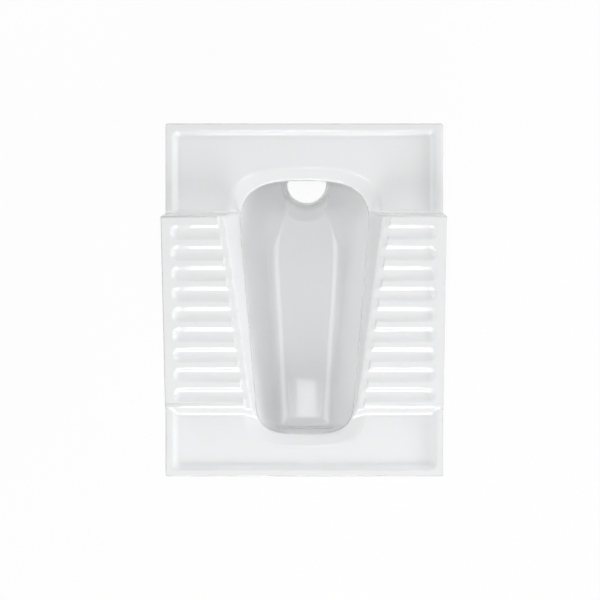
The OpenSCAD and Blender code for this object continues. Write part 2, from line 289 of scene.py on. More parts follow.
lip = {
    "half": 100, "taper": 0.0857,  # half the width at y = 0, and its growth towards the rear
    "rear": (205.5, 95.5, 3), "front": (-231, 61, 3.4),  # where the end is, its length, its squareness
}
seam = {  # where the deck and the bowl are luted together
    "half": 99.8, "taper": 0.0857,
    "rear": (272, 162, 2.4), "front": (-230.8, 61, 3.4),
}
channel = {  # at the foot of the bowl's walls
    "half": 66, "taper": 0.07, "pinch": 32, "pinchFrom": 72, "pinchLength": 105,
    "rear": (275, 49, 2), "front": (-228, 48, 10),
}
channelFloor = {  # the flat part between the walls' hollow foot
    "half": 45, "taper": 0.07, "pinch": 14, "pinchFrom": 72, "pinchLength": 105,
    "rear": (275, 49, 2), "front": (-214, 48, 10),
}


def outlineGap(x, y, outline, grow=0):  # distance from an outline, below 0 inside it
    pinchAt = (y - outline.get("pinchFrom", 0)) / outline.get("pinchLength", 1)
    half = outline["half"] + grow + outline["taper"] * y - outline.get("pinch", 0) * smoothStep(pinchAt)
    return endedGap(x, y, half, outline["taper"], grow, outline["rear"], outline["front"])


def endedGap(x, y, half, taper, grow, rear, front):
    rearLength = rear[1] + grow / 2
    frontLength = front[1] + grow / 2
    pastRear = (y - (rear[0] + grow - rearLength)) / rearLength
    pastFront = (front[0] - grow + frontLength - y) / frontLength
    atRear = pastRear > pastFront
    past = np.maximum(np.maximum(pastRear, pastFront), 0)
    length = np.where(atRear, rearLength, -frontLength)
    power = np.where(atRear, rear[2], front[2])
    across = np.maximum(np.abs(x) / half, 1e-6)
    total = across ** power + past ** power
    size = total ** (1 / power)
    toSide = (across / size) ** (power - 1)
    toEnd = (past / size) ** (power - 1)
    steep = np.hypot(toSide / half, toEnd / length - toSide * across * taper / half)
    return (size - 1) / steep


# Deck: trays, foot treads, ring and lip

deckLow, deckHigh = (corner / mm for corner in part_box("deck"))
deck = {
    "halfWidth": deckHigh.x, "halfLength": deckHigh.y, "cornerR": 4,
    "china": 12,  # thickness
    "cells": (2.4, 1.8, 1.8),  # of its mesh
    "rimZ": 40, "rimWidth": 12, "trayZ": 32, "trayWall": 7, "trayCornerR": 7, "trayFootR": 2.4,
    "lipZ": 26, "seamZ": 14, "ringWidth": 19, "ringHollow": 1.3,
    "treadFront": -180, "treadRear": 138, "treadFrontZ": 44.4, "treadRearZ": deckHigh.z,
    "stepFront": 15.5, "stepRear": 12,  # width of the steps at the treads' ends, seen from above
    "wallLean": 0.36, "shoulderWidth": 11.5, "shoulderDrop": 3.5,
    "grooveWidth": 23, "grooveDepth": 4.5, "groovePitch": 34, "grooves": 9,
    "firstGroove": -160, "grooveMargin": 16,
    "outerEdgeR": 2.5, "rimEdgeR": 1.6, "creaseR": 1.6, "lipR": 3.5, "stepR": 3, "stepFootR": 3,
    "shoulderR": 1.5, "grooveEdgeR": 1.4, "footR": 1.5, "undersideR": 5, "flangeRoom": 2,
    "bareReach": 0.6, "bareFrom": 2, "bareFoot": 1.3,  # where the glaze ends underneath
    "innerEdgeShade": 0.4,  # how much of the painted edge shade is seen away from the outer edges
}


def treadZ(y):
    d = deck
    rise = (d["treadRearZ"] - d["treadFrontZ"]) / (d["treadRear"] - d["treadFront"])
    return d["treadFrontZ"] + rise * (y - d["treadFront"])


def linePlane(y, z, y0, z0, y1, z1):  # distance above the plane through two points of the side view
    length = math.hypot(y1 - y0, z1 - z0)
    return ((z - z0) * (y1 - y0) - (y - y0) * (z1 - z0)) / length


def trayHollow(x, y, z):
    d = deck
    slope = d["trayWall"] / (d["rimZ"] - d["trayZ"])
    lean = (z - d["trayZ"]) * slope
    inset = d["rimWidth"] + d["trayWall"]
    wallX = (np.abs(x) - d["halfWidth"] + inset - lean) / math.hypot(1, slope)
    wallY = (np.abs(y) - d["halfLength"] + inset - lean) / math.hypot(1, slope)
    return roundShare(roundShare(wallX, wallY, d["trayCornerR"]), d["trayZ"] - z, d["trayFootR"])


def ringSurface(x, y, z):  # the ring falls from the trays and turns a little flatter towards the lip
    d = deck
    nearLip = outlineGap(x, y, lip)
    nearTray = outlineGap(x, y, lip, d["ringWidth"])
    share = np.maximum(nearLip / np.maximum(nearLip - nearTray, d["ringWidth"] / 2), 0)
    fall = d["trayZ"] - d["lipZ"]
    steep = d["ringHollow"] * fall * share ** (d["ringHollow"] - 1) / d["ringWidth"]
    return (z - d["lipZ"] - fall * share ** d["ringHollow"]) / np.hypot(1, np.minimum(steep, 1))


def wallGap(x, y, z):  # distance from the bowl's leaning upper wall, below 0 over the bowl
    lean = deck["wallLean"]
    grow = lean * np.maximum(z - deck["lipZ"], 0)
    return outlineGap(x, y, lip, grow) / math.hypot(1, lean)


def grooveHollow(x, y, z):
    d = deck
    radius = d["grooveWidth"] ** 2 / (8 * d["grooveDepth"]) + d["grooveDepth"] / 2
    number = np.clip(np.round((y - d["firstGroove"]) / d["groovePitch"]), 0, d["grooves"] - 1)
    middle = d["firstGroove"] + number * d["groovePitch"]
    tilt = math.atan2(d["treadRearZ"] - d["treadFrontZ"], d["treadRear"] - d["treadFront"])
    alongY, upZ = y - middle, z - treadZ(middle)
    across = alongY * math.cos(tilt) + upZ * math.sin(tilt)
    above = upZ * math.cos(tilt) - alongY * math.sin(tilt) - radius + d["grooveDepth"]
    outer = d["halfWidth"] - d["grooveMargin"] - d["grooveWidth"] / 2
    past = np.maximum(np.abs(x) - outer, 0)
    return np.sqrt(past ** 2 + across ** 2 + above ** 2) - radius


def treadBlock(x, y, z):
    d = deck
    top = linePlane(y, z, d["treadFront"], d["treadFrontZ"], d["treadRear"], d["treadRearZ"])
    front = linePlane(y, z, d["treadFront"] - d["stepFront"], d["trayZ"], d["treadFront"], d["treadFrontZ"])
    rear = linePlane(y, z, d["treadRear"], d["treadRearZ"], d["treadRear"] + d["stepRear"], d["trayZ"])
    block = roundShare(roundShare(top, front, d["stepR"]), rear, d["stepR"])
    shoulderZ = treadZ(y) - d["shoulderDrop"]
    atWall = lip["half"] + lip["taper"] * y + d["wallLean"] * (shoulderZ - d["lipZ"])
    strip = roundShare(shoulderZ - z, np.abs(x) - atWall - d["shoulderWidth"], d["shoulderR"])
    block = roundShare(block, -strip, d["shoulderR"])
    return roundShare(block, -grooveHollow(x, y, z), d["grooveEdgeR"])


def underHollow(x, y, z):
    d = deck
    inside = roundShare(
        np.abs(x) - d["halfWidth"] + d["china"], np.abs(y) - d["halfLength"] + d["china"], d["undersideR"])
    flangeGap = outlineGap(x, y, seam, d["china"] + d["flangeRoom"])
    room = roundShare(z - d["trayZ"] + d["china"], -flangeGap, d["undersideR"])
    treadY0 = d["treadFront"] + d["china"] / 2
    treadY1 = d["treadRear"] - d["china"]
    under = roundShare(z - treadZ(y) + d["china"], -wallGap(x, y, z) + d["china"], d["undersideR"])
    under = roundShare(under, treadY0 - y, d["undersideR"])
    rear = linePlane(y, z, treadY1, treadZ(treadY1), treadY1 + d["stepRear"], d["trayZ"])
    under = roundShare(under, rear, d["undersideR"])
    under = np.maximum(under, d["seamZ"] - z)
    return np.maximum(inside, np.minimum(z - d["seamZ"], roundJoin(room, under, d["undersideR"])))


def deckSolid(x, y, z):
    d = deck
    tray = roundShare(z - d["rimZ"], -trayHollow(x, y, z), d["rimEdgeR"])
    tray = roundShare(tray, ringSurface(x, y, z), d["creaseR"])
    body = roundJoin(tray, treadBlock(x, y, z), d["stepFootR"])
    body = roundShare(body, -wallGap(x, y, z), d["lipR"])
    plan = roundShare(np.abs(x) - d["halfWidth"], np.abs(y) - d["halfLength"], d["cornerR"])
    body = roundShare(body, plan, d["outerEdgeR"])
    body = np.maximum(body, -underHollow(x, y, z))
    return roundShare(body, -z, d["footR"])


def addDeck():
    piece = chinaMesh("deckShell", deckSolid, deckLow, deckHigh, deck["cells"])
    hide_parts("deck")
    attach(piece, "root")
    return piece


# Bowl: walls, channel, dish and outlet

bowlLow, bowlHigh = (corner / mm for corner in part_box("bowl"))
bowl = {
    "china": 12, "cells": (2.6, 2.6, 2.4),
    "seamZ": bowlHigh.z, "floorZ": -85, "floorFall": 0.15,
    "footHeight": 12, "footWidth": 21, "footTilt": 10, "footSteep": 49,  # the walls' hollow foot, in degrees
    "footR": 3, "footBlend": 0.5, "leastHalf": 20, "flangeR": 2, "seamR": 1, "mouthR": 1,
    "outletY": 226, "boreR": 38, "funnelR": 45, "funnelLength": 25, "funnelShift": 5, "funnelOver": 1.2,
    "dishR": 78, "dishDrop": 1.1, "dishEdgeR": 5, "dishInset": 0.6, "funnelEdgeR": 5,
    "sumpR": 61, "sumpEdgeR": 6,
    "slotHalf": 49, "slotHeight": 6, "slotZ": -26.25, "slotR": 1.2, "slotDepth": 12,
    "glazeReach": 1.2,  # mm behind the inner surface, where the glaze ends
}


def floorZ(y):
    return bowl["floorZ"] - bowl["floorFall"] * y


def halfAt(y, outline):
    pinchAt = (y - outline["pinchFrom"]) / outline["pinchLength"]
    return outline["half"] + outline["taper"] * y - outline["pinch"] * smoothStep(pinchAt)


def footCurve(out):  # the walls' hollow foot, out from the flat floor: its height and its slope's cosine
    low, high = (math.sin(math.radians(bowl[key])) for key in ("footTilt", "footSteep"))
    radius = bowl["footWidth"] / (high - low)
    sine = np.clip(low + out / radius, low, high)
    cosine = np.sqrt(1 - sine ** 2)
    curved = (sine - low) * radius
    return radius * (math.sqrt(1 - low ** 2) - cosine) + (out - curved) * sine / cosine, cosine


def wallForm(x, y, z, grow=0):  # the bowl's leaning walls, from the seam to below the floor
    b = bowl
    foot = floorZ(y) + b["footHeight"]
    up = (z - foot) / (b["seamZ"] - foot)
    share = np.maximum(up, 0)
    ends = {}
    for end in ("rear", "front"):
        ends[end] = [(1 - share) * low + share * high for low, high in zip(channel[end], seam[end])]
    low = halfAt(y, channel)
    high = seam["half"] + seam["taper"] * y
    half = np.maximum((1 - up) * low + up * high, b["leastHalf"]) + grow
    lean = (seam["half"] - channel["half"]) / (b["seamZ"] - b["floorZ"] - b["footHeight"])
    return endedGap(x, y, half, seam["taper"], grow, ends["rear"], ends["front"]) / math.hypot(1, lean)


def bowlForm(x, y, z, grow=0):  # the inside of the bowl, or its outside with grow
    b = bowl
    floor = (floorZ(y) - grow - z) / math.hypot(1, b["floorFall"])
    rise, cosine = footCurve(outlineGap(x, y, channelFloor) - grow)
    curved = (floorZ(y) - grow + rise - z) * cosine
    wall = wallForm(x, y, z, grow)
    return softLimit(floor, roundShare(wall, curved, b["footR"] + grow), b["footBlend"])


def dishForm(x, y, z, grow=0):  # the shallow round dish that leads to the outlet
    b = bowl
    funnelZ = floorZ(b["outletY"]) - b["dishDrop"]
    dishZ = floorZ(b["outletY"] - b["dishR"])
    fall = (dishZ - funnelZ) / (b["dishR"] - b["funnelR"])
    radius = np.hypot(x, y - b["outletY"])
    dish = (funnelZ + (radius - b["funnelR"]) * fall - grow - z) / math.hypot(1, fall)
    dish = roundShare(dish, wallForm(x, y, z, grow) + b["dishInset"], b["dishEdgeR"] + grow)
    dish = np.maximum(dish, radius - b["dishR"] - grow - b["china"])
    return np.maximum(dish, z - floorZ(y) - b["footHeight"])


def funnelHollow(x, y, z):  # the funnel under the dish, and the bore below it
    b = bowl
    funnelZ = floorZ(b["outletY"]) - b["dishDrop"]
    up = np.clip((z - funnelZ) / b["funnelLength"] + 1, 0, b["funnelOver"])
    radius = np.hypot(x, y - b["outletY"] + up * b["funnelShift"])
    lean = (b["funnelR"] - b["boreR"]) / b["funnelLength"]
    funnel = (radius - b["funnelR"] - (z - funnelZ) * lean) / math.hypot(1, lean)
    funnel = np.maximum(funnel, z - funnelZ - b["dishEdgeR"])
    return np.minimum(funnel, np.hypot(x, y - b["outletY"]) - b["boreR"])


def slotHollow(x, y, z):  # the flush slot at the foot of the front wall
    b = bowl
    slot = roundShare(np.abs(x) - b["slotHalf"], np.abs(z - b["slotZ"]) - b["slotHeight"] / 2, b["slotR"])
    return np.maximum(slot, y - seam["front"][0] - b["slotDepth"])


def bowlHollow(x, y, z):
    hollow = softJoin(bowlForm(x, y, z), dishForm(x, y, z), bowl["footBlend"])
    hollow = roundJoin(hollow, funnelHollow(x, y, z), bowl["funnelEdgeR"])
    return roundJoin(hollow, slotHollow(x, y, z), bowl["slotR"])


def bowlSolid(x, y, z):
    b = bowl
    radius = np.hypot(x, y - b["outletY"])
    sump = roundShare(radius - b["sumpR"], z - bowlLow.z - 2 * b["china"], b["sumpEdgeR"])
    outside = softJoin(bowlForm(x, y, z, b["china"]), dishForm(x, y, z, b["china"]), b["footBlend"])
    outside = roundJoin(outside, sump, b["sumpEdgeR"])
    outside = roundShare(outside, outlineGap(x, y, seam, b["china"]), b["flangeR"])
    outside = roundShare(outside, z - b["seamZ"], b["seamR"])
    walls = np.maximum(outside, bowlLow.z - z)
    return roundShare(walls, -bowlHollow(x, y, z), b["mouthR"])


def addBowl():
    piece = chinaMesh("bowlShell", bowlSolid, bowlLow, bowlHigh, bowl["cells"])
    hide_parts("bowl")
    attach(piece, "root")
    return piece


# Outlet horn, turned from clay and luted under the bowl

hornLow, hornHigh = (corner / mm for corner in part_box("outlet_horn"))
horn = {
    "radius": 50, "footR": 3, "boreFootR": 2, "shoulderZ": -157, "shoulderR": 6,
    "throatZ": -145, "throatR": 4, "seamR": 1,
    "glazeFade": 2, "bareFoot": 2, "footEdgeShade": 0.6,
}


def addHorn():
    h = horn
    bore = bowl["boreR"]
    topBore = bore + (bowl["funnelR"] - bore) * (hornHigh.z - h["throatZ"]) / bowl["funnelLength"]
    corners = [
        (bore, hornLow.z, h["boreFootR"]), (h["radius"], hornLow.z, h["footR"]),
        (h["radius"], h["shoulderZ"], h["shoulderR"]), (bowl["sumpR"], hornHigh.z, h["seamR"]),
        (topBore, hornHigh.z, h["seamR"]), (bore, h["throatZ"], h["throatR"]),
    ]
    piece = latheMesh("outletHorn", corners, (0, bowl["outletY"], 0))
    points = pointsOf(piece.data)
    radius = np.hypot(points[:, 0], points[:, 1] - bowl["outletY"])
    foot = points[:, 2] < hornLow.z + h["bareFoot"]
    storeValue(piece.data, "bare", smoothStep((radius - topBore) / h["glazeFade"] + foot))
    # painted shade: the horn's rounded foot gets part of the darker edge colour
    storeValue(piece.data, "bend", np.where(points[:, 2] < hornLow.z + h["footR"], h["footEdgeShade"], 0))
    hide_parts("outlet_horn")
    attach(piece, "root")
    return piece


# Inlet box, which spreads the flush water along the bowl's front wall

inletLow, inletHigh = (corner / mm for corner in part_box("inlet_box"))
inlet = {
    "wall": 8, "front": -281, "edgeR": 7, "chamberR": 5,
    "socketR": 37, "boreR": 28, "socketEdgeR": 2.5, "luteR": 5, "innerEdgeR": 1.5,
    "cells": (2, 2, 2), "flatness": 0.4,
}


def inletSolid(x, y, z):
    i = inlet
    axisZ = (inletLow.z + inletHigh.z) / 2
    halfHeight = (inletHigh.z - inletLow.z) / 2
    up = np.abs(z - axisZ)
    radius = np.hypot(x, z - axisZ)
    chamberY0 = i["front"] + i["wall"]
    chamberY1 = bowlLow.y - i["wall"]
    block = roundShare(np.abs(x) - inletHigh.x, up - halfHeight, i["edgeR"])
    block = roundShare(block, i["front"] - y, i["edgeR"])
    socket = roundShare(radius - i["socketR"], inletLow.y - y, i["socketEdgeR"])
    body = roundJoin(block, np.maximum(socket, y - chamberY0), i["luteR"])
    body = np.maximum(body, y - inletHigh.y)
    chamber = roundShare(np.abs(x) - inletHigh.x + i["wall"], up - halfHeight + i["wall"], i["chamberR"])
    chamber = roundShare(chamber, np.maximum(chamberY0 - y, y - chamberY1), i["chamberR"])
    bore = np.maximum(radius - i["boreR"], y - chamberY1 + i["wall"])
    hollow = np.minimum(chamber, bore)
    hollow = np.minimum(hollow, np.maximum(slotHollow(x, y, z), chamberY0 + i["wall"] - y))
    body = roundShare(body, -hollow, i["innerEdgeR"])
    return np.maximum(body, -bowlForm(x, y, z, bowl["china"]))


def addInletBox():
    piece = chinaMesh("inletBox", inletSolid, inletLow, inletHigh, inlet["cells"], inlet["flatness"])
    points = pointsOf(piece.data)
    storeValue(piece.data, "bare", np.ones(len(points)))
    # how sharply the surface bends, which the glaze paints as darker edges and creases (painted shade)
    storeValue(piece.data, "bend", bendOf(inletSolid, points))
    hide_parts("inlet_box")
    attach(piece, "root")
    return piece


# Rubber seals

inletSealLow, inletSealHigh = (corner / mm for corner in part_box("inlet_seal"))
outletSealLow, outletSealHigh = (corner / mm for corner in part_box("outlet_seal"))
seals = {
    "pipeR": 22, "lipDepth": 1.6, "lips": 3,  # the inlet seal's bore and its gripping lips
    "lipR": 0.6, "lipFootR": 0.3, "endR": 1, "stepR": 0.5,
    "flange": 3, "flangeR": 1.2,
    "fins": 3, "finDepth": 2.4, "finTip": 1.6, "finStart": 0.25, "finR": 0.5,  # outside the outlet seal
    "sleeveR": 0.8,
}


def addInletSeal():
    s = seals
    y0, y1 = inletSealLow.y, inletSealHigh.y
    flangeRadius = inletSealHigh.x
    hollow = s["pipeR"] + s["lipDepth"]
    pitch = (y1 - y0) / s["lips"]
    flangeY = y0 + s["flange"]
    corners = [(hollow, y1, s["endR"]), (inlet["boreR"], y1, s["endR"])]
    corners += [(inlet["boreR"], flangeY, s["stepR"]), (flangeRadius, flangeY, s["flangeR"])]
    corners += [(flangeRadius, y0, s["flangeR"]), (hollow, y0, s["flangeR"])]
    for k in range(s["lips"]):
        lipY = y0 + (k + 0.5) * pitch
        corners += [(hollow, lipY - pitch / 4, s["lipR"]), (s["pipeR"], lipY, s["lipR"])]
        corners += [(hollow, lipY + pitch / 8, s["lipFootR"])]
    axisZ = (inletSealLow.z + inletSealHigh.z) / 2
    piece = latheMesh("inletSeal", corners[::-1], (0, 0, axisZ), along="y")  # turned round, as y mirrors it
    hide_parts("inlet_seal")
    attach(piece, "root")
    return piece


def addOutletSeal():
    s = seals
    z0, z1 = outletSealLow.z, outletSealHigh.z
    outer = outletSealHigh.x
    pitch = (z1 - z0) / s["fins"]
    sleeve = outer - s["finDepth"]
    corners = [(horn["radius"], z, s["sleeveR"]) for z in (z1, z0)]
    for k in range(s["fins"]):
        finZ = z0 + (k + s["finStart"]) * pitch
        for radius, tips in ((sleeve, -1), (outer, 0), (outer, 1), (sleeve, 2)):
            corners.append((radius, finZ + tips * s["finTip"], s["finR"]))
    corners.append((sleeve, z1, s["endR"]))
    piece = latheMesh("outletSeal", corners, (0, bowl["outletY"], 0))
    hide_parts("outlet_seal")
    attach(piece, "root")
    return piece


# Materials

glaze = {
    # the second colour paints creases darker as shade, along with a pooled glaze tint; the third paints
    # rounded edges darker grey as shade, along with thinner glaze
    "color": (0.87, 0.875, 0.88, 1), "poolTintAndCreaseShadeColor": (0.82, 0.84, 0.84, 1), "thinGlazeAndEdgeShadeColor": (0.68, 0.68, 0.67, 1),
    "creaseShadeShare": 0.5, "edgeShadeShare": 0.9, "edgeShadeFrom": 0.15,
    "roughness": 0.05, "waveSize": 0.022, "waveHeight": 0.00003, "waveDetail": 1.0, "refraction": 1.5,
    "cloudScale": 9.0, "cloudDetail": 3.0, "cloudFrom": 0.45, "cloudTo": 0.75,
    "cloudShare": 0.12, "cloudRoughness": 0.03,
    "speckSize": 0.004, "speckColor": (0.32, 0.26, 0.2, 1),
    "speckFrom": 0.985, "speckR": 0.06, "speckShare": 0.35,
}
biscuit = {
    "color": (0.72, 0.69, 0.62, 1), "darkColor": (0.60, 0.56, 0.48, 1),
    "roughness": 0.85, "grainSize": 0.0012, "grainHeight": 0.00012, "stainSize": 0.06,
    "edgeScale": 70.0, "edgeWander": 0.3, "edgeFrom": 0.6, "edgeTo": 0.7,  # the ragged edge of the glaze
}
rubber = {
    "color": (0.028, 0.028, 0.03, 1), "bloomColor": (0.07, 0.07, 0.072, 1), "roughness": 0.62,
    "grainSize": 0.0009, "grainHeight": 0.00005, "stainSize": 0.03,
}
matt = {  # shared by the biscuit and the rubber
    "grainDetail": 3.0, "stainDetail": 5.0, "stainFrom": 0.4, "stainTo": 0.72, "stainPolish": 0.12,
}


def addNode(tree, kind, inputs=None, **settings):  # an input is a value or another node's socket
    node = tree.nodes.new("ShaderNode" + kind)
    for name, value in settings.items():
        setattr(node, name, value)
    for name, value in (inputs or {}).items():
        if isinstance(value, bpy.types.NodeSocket):
            tree.links.new(value, node.inputs[name])
        else:
            node.inputs[name].default_value = value
    return node


def newGroup(name, inputs, outputs):
    group = bpy.data.node_groups.new(name, "ShaderNodeTree")
    for socketName, kind in inputs.items():
        group.interface.new_socket(socketName, in_out="INPUT", socket_type="NodeSocket" + kind)
    for socketName, kind in outputs.items():
        group.interface.new_socket(socketName, in_out="OUTPUT", socket_type="NodeSocket" + kind)
    return group, group.nodes.new("NodeGroupInput"), group.nodes.new("NodeGroupOutput")


def mathNode(tree, operation, a, b=0.0):
    return addNode(tree, "Math", {0: a, 1: b}, operation=operation).outputs[0]


def mixColor(tree, share, a, b):
    return addNode(tree, "Mix", {0: share, 6: a, 7: b}, data_type="RGBA").outputs[2]


def mixValue(tree, share, a, b):
    return addNode(tree, "Mix", {0: share, 2: a, 3: b}, data_type="FLOAT").outputs[0]


def addNoise(tree, place, scale, detail):
    return addNode(tree, "TexNoise", {"Vector": place, "Scale": scale, "Detail": detail}).outputs["Fac"]


def mapRange(tree, value, start, end, top=1.0):
    inputs = {"Value": value, "From Min": start, "From Max": end, "To Max": top}
    return addNode(tree, "MapRange", inputs).outputs[0]


def buildGrainGroup():  # a matt fired or moulded surface: fine grain over broad faint stains
    inputs = {"Color": "Color", "Stain Color": "Color", "Grain Size": "Float", "Stain Size": "Float",
              "Roughness": "Float", "Grain Height": "Float"}
    outputs = {"Color": "Color", "Roughness": "Float", "Height": "Float"}
    group, given, result = newGroup("mattGrain", inputs, outputs)
    place = addNode(group, "TexCoord").outputs["Object"]
    grainScale = mathNode(group, "DIVIDE", 1.0, given.outputs["Grain Size"])
    stainScale = mathNode(group, "DIVIDE", 1.0, given.outputs["Stain Size"])
    grain = addNoise(group, place, grainScale, matt["grainDetail"])
    stain = addNoise(group, place, stainScale, matt["stainDetail"])
    patches = mapRange(group, stain, matt["stainFrom"], matt["stainTo"])
    share = mathNode(group, "MULTIPLY", patches, grain)
    color = mixColor(group, share, given.outputs["Color"], given.outputs["Stain Color"])
    polish = mathNode(group, "MULTIPLY", stain, matt["stainPolish"])
    rough = mathNode(group, "SUBTRACT", given.outputs["Roughness"], polish)
    height = mathNode(group, "MULTIPLY", grain, given.outputs["Grain Height"])
    for name, socket in (("Color", color), ("Roughness", rough), ("Height", height)):
        group.links.new(socket, result.inputs[name])
    print("grain group built")
    return group


def buildGlazeGroup():  # a thick glossy glaze that waves gently; hollow creases are painted a little darker as shade, along with a pooled glaze tint, and rounded edges darker grey as painted shade, along with thinner glaze
    inputs = {"Color": "Color", "Pool Tint And Crease Shade Color": "Color", "Thin Glaze And Edge Shade Color": "Color", "Wave Size": "Float",
              "Wave Height": "Float", "Roughness": "Float", "Speck Size": "Float"}
    outputs = {"Color": "Color", "Roughness": "Float", "Height": "Float"}
    group, given, result = newGroup("whiteGlaze", inputs, outputs)
    place = addNode(group, "TexCoord").outputs["Object"]
    level = addNode(group, "Attribute", attribute_name="level").outputs["Fac"]
    bend = addNode(group, "Attribute", attribute_name="bend").outputs["Fac"]
    bend = mathNode(group, "MULTIPLY", bend, mathNode(group, "SUBTRACT", 1.0, level))
    waveScale = mathNode(group, "DIVIDE", 1.0, given.outputs["Wave Size"])
    wave = addNoise(group, place, waveScale, glaze["waveDetail"])
    cloud = addNoise(group, place, glaze["cloudScale"], glaze["cloudDetail"])
    # painted shade: creases a little darker and rounded edges darker grey, by how sharply they bend
    creaseShade = mapRange(group, bend, 0.0, -1.0, glaze["creaseShadeShare"])
    thinGlazeAndEdgeShade = mapRange(group, bend, glaze["edgeShadeFrom"], 1.0, glaze["edgeShadeShare"])
    clouds = mapRange(group, cloud, glaze["cloudFrom"], glaze["cloudTo"], glaze["cloudShare"])
    poolTintAndCreaseShade = mathNode(group, "ADD", creaseShade, clouds)
    color = mixColor(group, poolTintAndCreaseShade, given.outputs["Color"], given.outputs["Pool Tint And Crease Shade Color"])
    color = mixColor(group, thinGlazeAndEdgeShade, color, given.outputs["Thin Glaze And Edge Shade Color"])
    speckScale = mathNode(group, "DIVIDE", 1.0, given.outputs["Speck Size"])
    speck = addNode(group, "TexVoronoi", {"Vector": place, "Scale": speckScale})
    shade = addNode(group, "SeparateColor", {"Color": speck.outputs["Color"]}).outputs[0]
    chosen = mathNode(group, "GREATER_THAN", shade, glaze["speckFrom"])  # few cells have a speck
    dot = mathNode(group, "LESS_THAN", speck.outputs["Distance"], glaze["speckR"])
    specks = mathNode(group, "MULTIPLY", mathNode(group, "MULTIPLY", chosen, dot), glaze["speckShare"])
    color = mixColor(group, specks, color, glaze["speckColor"])
    unevenness = mathNode(group, "MULTIPLY", cloud, glaze["cloudRoughness"])
    rough = mathNode(group, "ADD", given.outputs["Roughness"], unevenness)
    height = mathNode(group, "MULTIPLY", wave, given.outputs["Wave Height"])
    for name, socket in (("Color", color), ("Roughness", rough), ("Height", height)):
        group.links.new(socket, result.inputs[name])
    print("glaze group built")
    return group


def placeGroup(tree, group, values):
    node = tree.nodes.new("ShaderNodeGroup")
    node.node_tree = group
    for name, value in values.items():
        node.inputs[name].default_value = value
    return node


def newMaterial(name):
    material = bpy.data.materials.new(name)
    material.use_nodes = True
    material.node_tree.nodes.clear()
    return material, material.node_tree


def chinaMaterial(name, groups):
    material, tree = newMaterial(name)
    glazed = placeGroup(tree, groups["glaze"], {
        "Color": glaze["color"], "Pool Tint And Crease Shade Color": glaze["poolTintAndCreaseShadeColor"], "Thin Glaze And Edge Shade Color": glaze["thinGlazeAndEdgeShadeColor"],
        "Wave Size": glaze["waveSize"], "Wave Height": glaze["waveHeight"],
        "Roughness": glaze["roughness"], "Speck Size": glaze["speckSize"]})
    clay = placeGroup(tree, groups["grain"], {
        "Color": biscuit["color"], "Stain Color": biscuit["darkColor"],
        "Grain Size": biscuit["grainSize"], "Stain Size": biscuit["stainSize"],
        "Roughness": biscuit["roughness"], "Grain Height": biscuit["grainHeight"]})
    bare = addNode(tree, "Attribute", attribute_name="bare").outputs["Fac"]
    place = addNode(tree, "TexCoord").outputs["Object"]
    ragged = addNode(tree, "TexNoise", {"Vector": place, "Scale": biscuit["edgeScale"]}).outputs["Fac"]
    edge = mathNode(tree, "ADD", bare, mathNode(tree, "MULTIPLY", ragged, biscuit["edgeWander"]))
    share = mapRange(tree, edge, biscuit["edgeFrom"], biscuit["edgeTo"])
    color = mixColor(tree, share, glazed.outputs["Color"], clay.outputs["Color"])
    rough = mixValue(tree, share, glazed.outputs["Roughness"], clay.outputs["Roughness"])
    height = mixValue(tree, share, glazed.outputs["Height"], clay.outputs["Height"])
    bump = addNode(tree, "Bump", {"Height": height, "Distance": 1.0})
    shader = addNode(tree, "BsdfPrincipled", {"Base Color": color, "Roughness": rough,
                                              "Normal": bump.outputs["Normal"], "IOR": glaze["refraction"]})
    addNode(tree, "OutputMaterial", {"Surface": shader.outputs[0]})
    return material


def rubberMaterial(name, groups):
    material, tree = newMaterial(name)
    skin = placeGroup(tree, groups["grain"], {
        "Color": rubber["color"], "Stain Color": rubber["bloomColor"],
        "Grain Size": rubber["grainSize"], "Stain Size": rubber["stainSize"],
        "Roughness": rubber["roughness"], "Grain Height": rubber["grainHeight"]})
    bump = addNode(tree, "Bump", {"Height": skin.outputs["Height"], "Distance": 1.0})
    shader = addNode(tree, "BsdfPrincipled", {"Base Color": skin.outputs["Color"],
                                              "Roughness": skin.outputs["Roughness"],
                                              "Normal": bump.outputs["Normal"]})
    addNode(tree, "OutputMaterial", {"Surface": shader.outputs[0]})
    return material


def markDeck(mesh):  # where the deck's clay is left bare
    points = pointsOf(mesh)
    x, y, z = points.T
    under = (np.abs(underHollow(x, y, z)) < deck["bareReach"]) & (outlineGap(x, y, seam) > deck["bareFrom"])
    foot = z < deck["bareFoot"]
    storeValue(mesh, "bare", np.where(under | foot, 1.0, 0.0))
    # painted edge shade: the rounded outer edges get the full darker edge colour, the other rounded edges
    # part of it
    inward = np.minimum(deck["halfWidth"] - np.abs(x), deck["halfLength"] - np.abs(y))
    edgeShade = np.where(inward < deck["outerEdgeR"], 1, deck["innerEdgeShade"])
    storeValue(mesh, "bend", bendOf(deckSolid, points) * edgeShade)


def markBowl(mesh):  # the bowl is glazed inside only
    points = pointsOf(mesh)
    x, y, z = points.T
    storeValue(mesh, "bare", np.where(bowlHollow(x, y, z) < bowl["glazeReach"], 0.0, 1.0))
    # how sharply the surface bends, which the glaze paints as darker edges and creases (painted shade)
    storeValue(mesh, "bend", bendOf(bowlSolid, points))


# Studio: a pale floor, a faint plain sky and softboxes all round the pan

